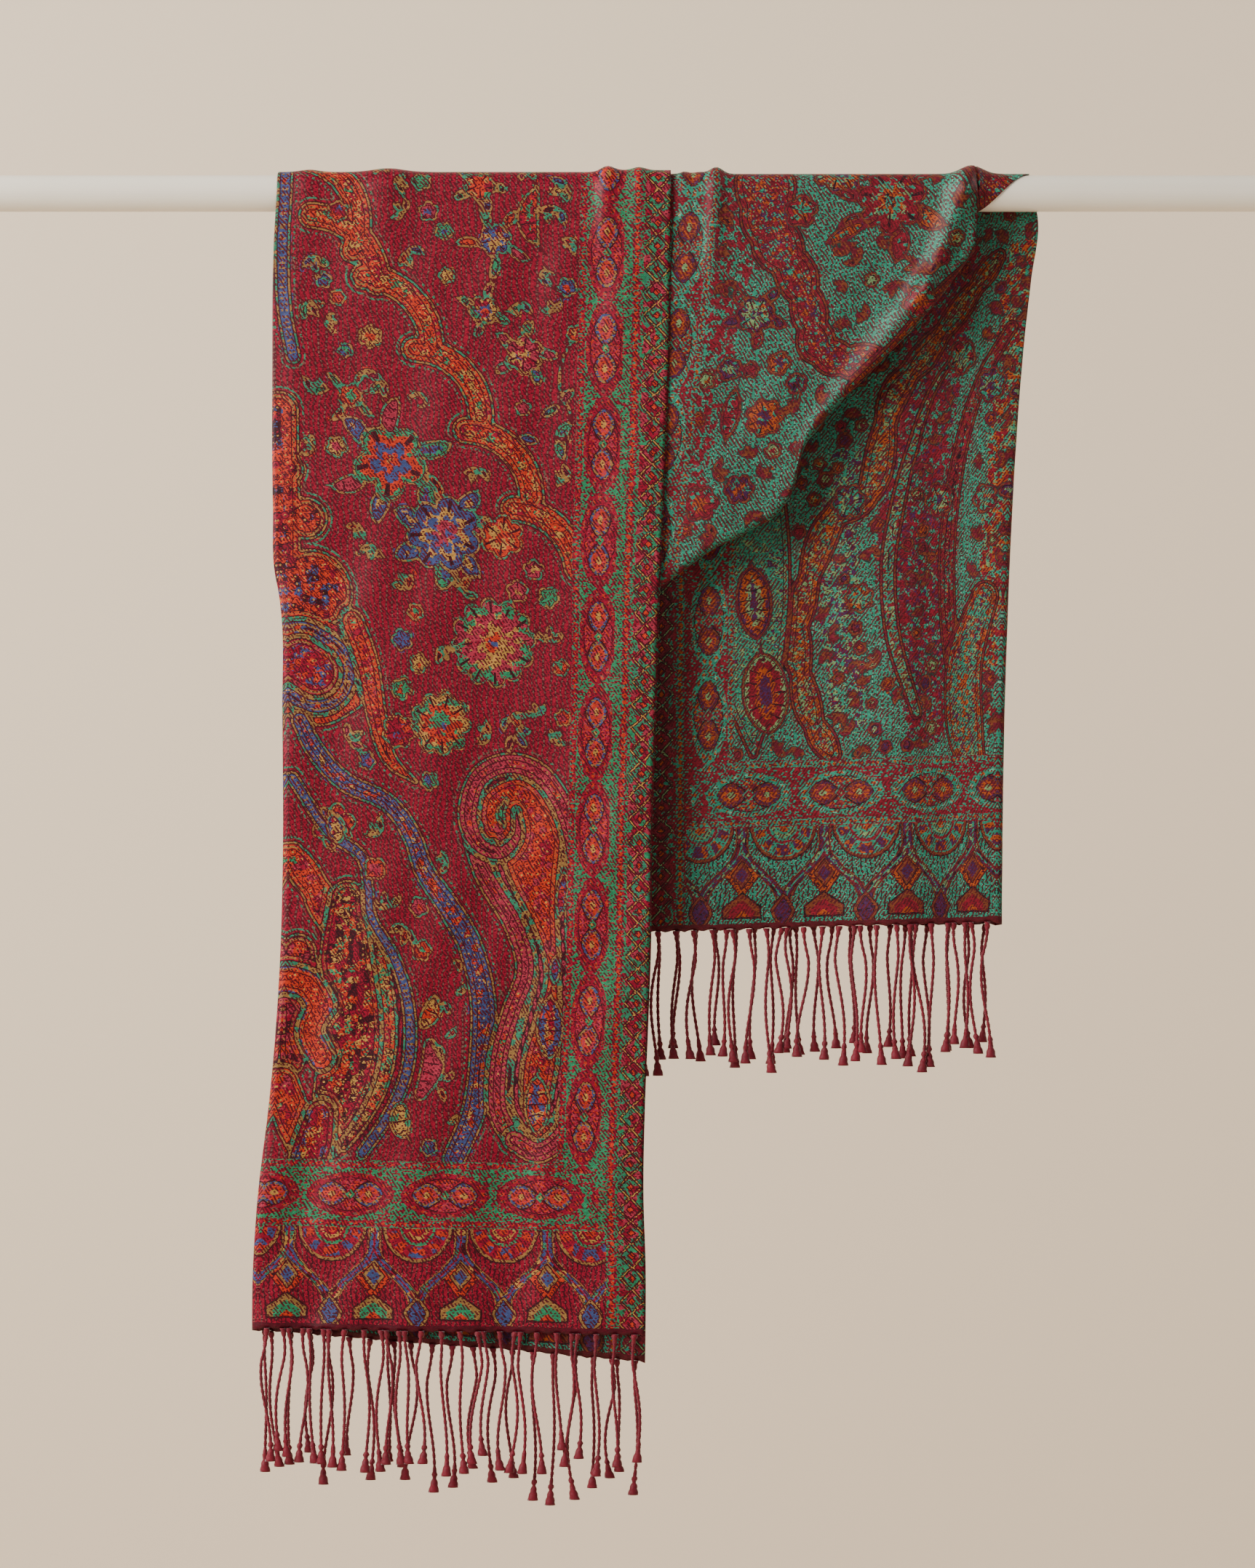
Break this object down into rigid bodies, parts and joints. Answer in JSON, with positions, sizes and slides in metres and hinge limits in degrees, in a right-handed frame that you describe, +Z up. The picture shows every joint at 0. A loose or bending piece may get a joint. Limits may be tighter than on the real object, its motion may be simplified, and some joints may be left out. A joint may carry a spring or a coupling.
{
  "type": "silk shawl on a rail",
  "caption": "Long fringed silk shawl, folded lengthwise and draped over a round wooden rail: one end in front, one behind, and a swag between.",
  "frame": {"origin": "middle of the rail, on its axis, where the rail is held", "axes": "+X along the rail to the viewer's right, +Y away from the viewer, +Z up"},
  "size_m": [1, 0.0567, 0.9402],
  "materials": {
    "rail_paint": "cream gloss paint on a round wooden bar",
    "silk_red_face": "jacquard silk, crimson ground with green, orange and blue floral and paisley ornament",
    "silk_green_face": "the same weave's other face, teal green ground with crimson ornament",
    "fringe_silk": "twisted dark crimson silk strands with small cut tufts"
  },
  "bodies": {
    "root": {"rail": "rail_paint", "front_fall": "silk_red_face", "back_swag": "silk_red_face", "front_swag": "silk_green_face", "back_fall": "silk_green_face", "fringe_front_outer": "fringe_silk", "fringe_front_inner": "fringe_silk", "fringe_back_inner": "fringe_silk", "fringe_back_outer": "fringe_silk"}
  },
  "joints": []
}
